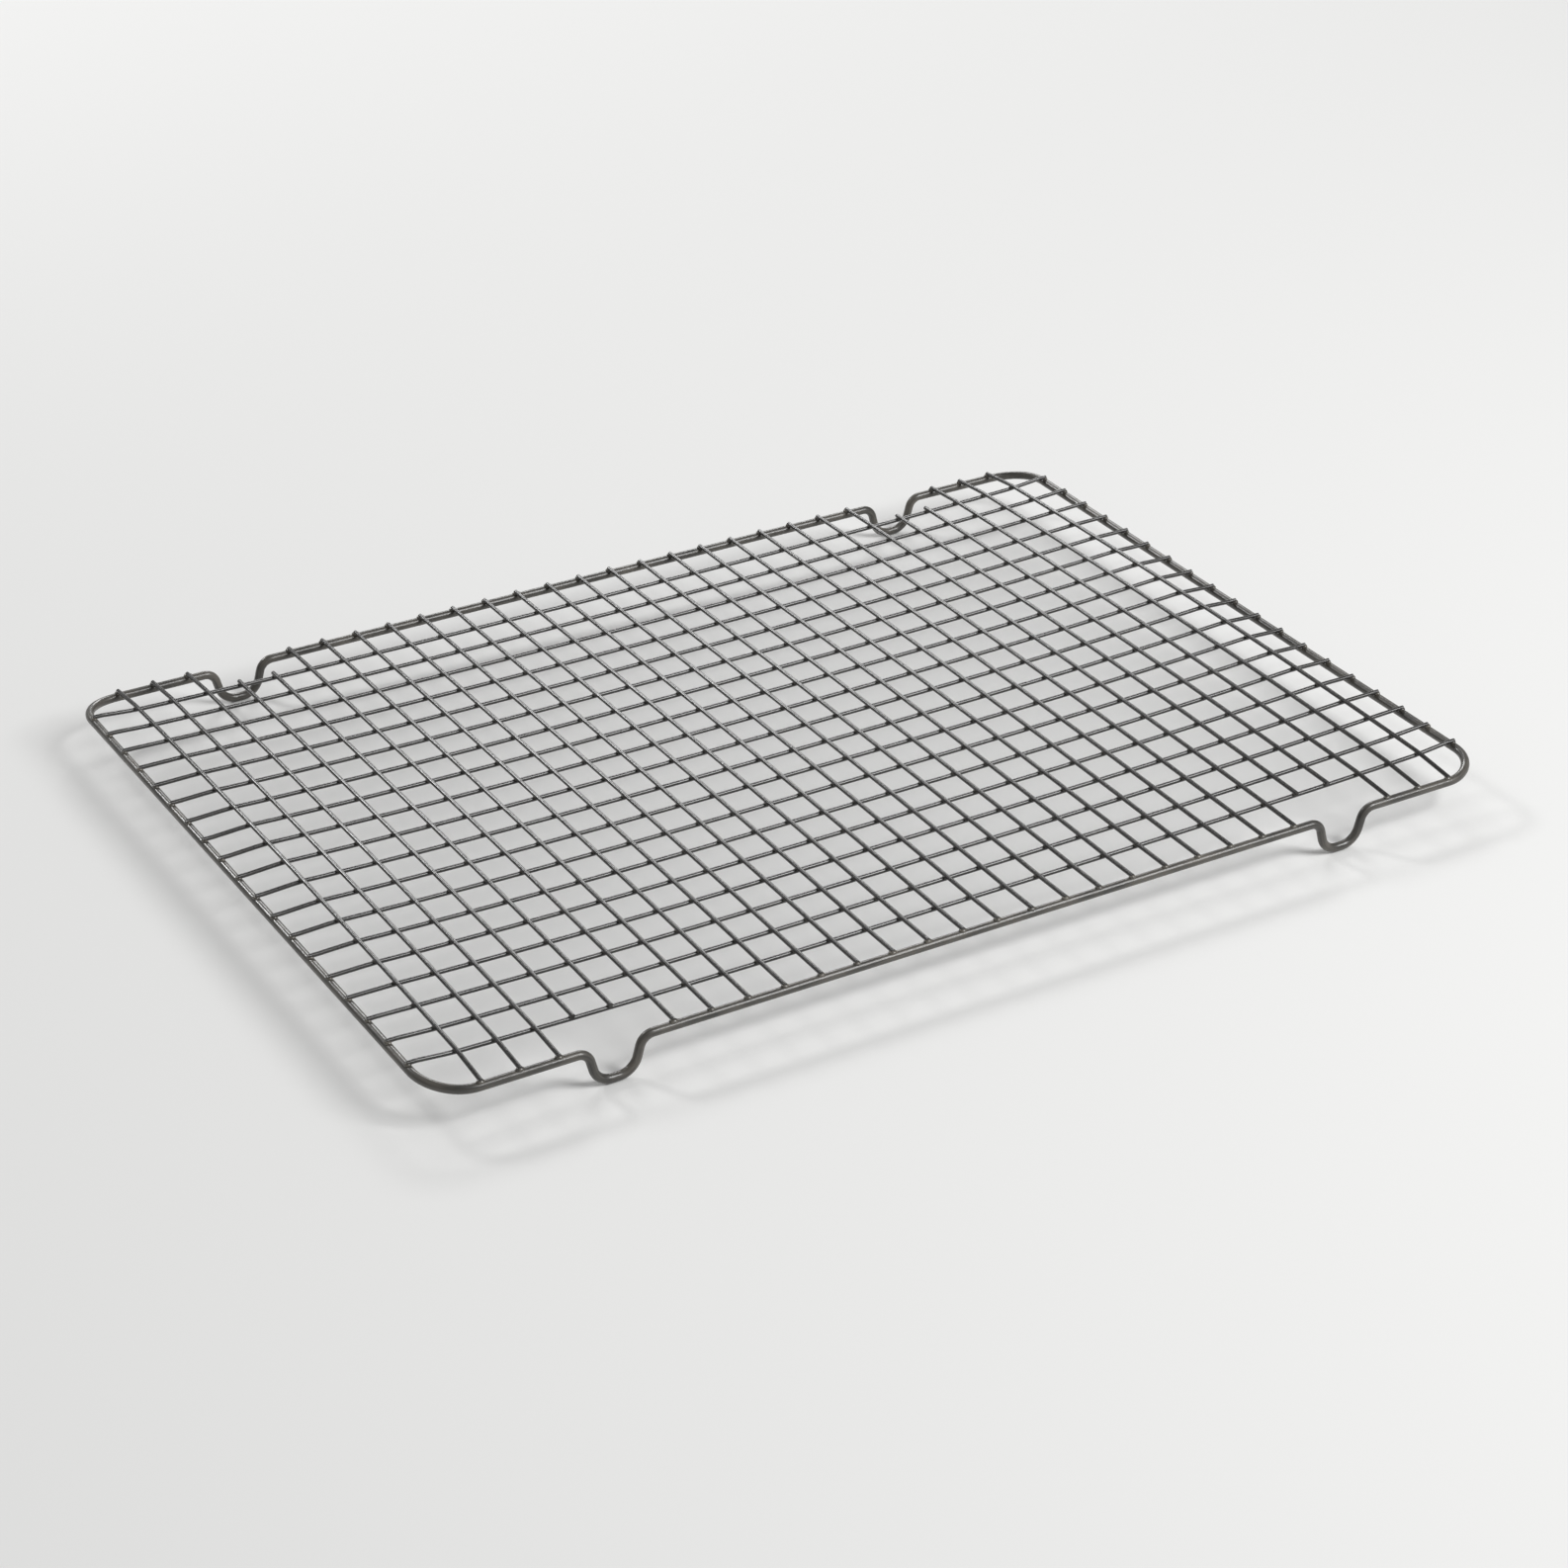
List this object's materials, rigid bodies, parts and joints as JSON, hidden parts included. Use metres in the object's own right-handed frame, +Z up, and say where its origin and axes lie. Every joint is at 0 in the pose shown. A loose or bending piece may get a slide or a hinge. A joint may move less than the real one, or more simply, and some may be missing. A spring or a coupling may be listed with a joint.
{
  "type": "cooling rack",
  "caption": "Flat rectangular wire cooling rack: a bent frame wire with U-shaped feet under its long sides carries a welded grid of thin crossing wires with a dark non-stick coat.",
  "frame": {"origin": "under the middle of the rack, on the surface that its four feet stand on", "axes": "+X along the rack's length, parallel to the long wires; +Y across it, parallel to the cross wires; +Z up"},
  "size_m": [0.4212, 0.3012, 0.0217],
  "materials": {
    "frame_coat": "satin dark grey non-stick coating on steel wire",
    "grid_coat": "satin dark grey non-stick coating on steel wire"
  },
  "bodies": {
    "root": {"frame_wire": "frame_coat", "cross_wire_01": "grid_coat", "cross_wire_02": "grid_coat", "cross_wire_03": "grid_coat", "cross_wire_04": "grid_coat", "cross_wire_05": "grid_coat", "cross_wire_06": "grid_coat", "cross_wire_07": "grid_coat", "cross_wire_08": "grid_coat", "cross_wire_09": "grid_coat", "cross_wire_10": "grid_coat", "cross_wire_11": "grid_coat", "cross_wire_12": "grid_coat", "cross_wire_13": "grid_coat", "cross_wire_14": "grid_coat", "cross_wire_15": "grid_coat", "cross_wire_16": "grid_coat", "cross_wire_17": "grid_coat", "cross_wire_18": "grid_coat", "cross_wire_19": "grid_coat", "cross_wire_20": "grid_coat", "cross_wire_21": "grid_coat", "cross_wire_22": "grid_coat", "cross_wire_23": "grid_coat", "cross_wire_24": "grid_coat", "cross_wire_25": "grid_coat", "cross_wire_26": "grid_coat", "cross_wire_27": "grid_coat", "cross_wire_28": "grid_coat", "cross_wire_29": "grid_coat", "long_wire_01": "grid_coat", "long_wire_02": "grid_coat", "long_wire_03": "grid_coat", "long_wire_04": "grid_coat", "long_wire_05": "grid_coat", "long_wire_06": "grid_coat", "long_wire_07": "grid_coat", "long_wire_08": "grid_coat", "long_wire_09": "grid_coat", "long_wire_10": "grid_coat", "long_wire_11": "grid_coat", "long_wire_12": "grid_coat", "long_wire_13": "grid_coat", "long_wire_14": "grid_coat", "long_wire_15": "grid_coat", "long_wire_16": "grid_coat", "long_wire_17": "grid_coat", "long_wire_18": "grid_coat", "long_wire_19": "grid_coat"}
  },
  "joints": []
}
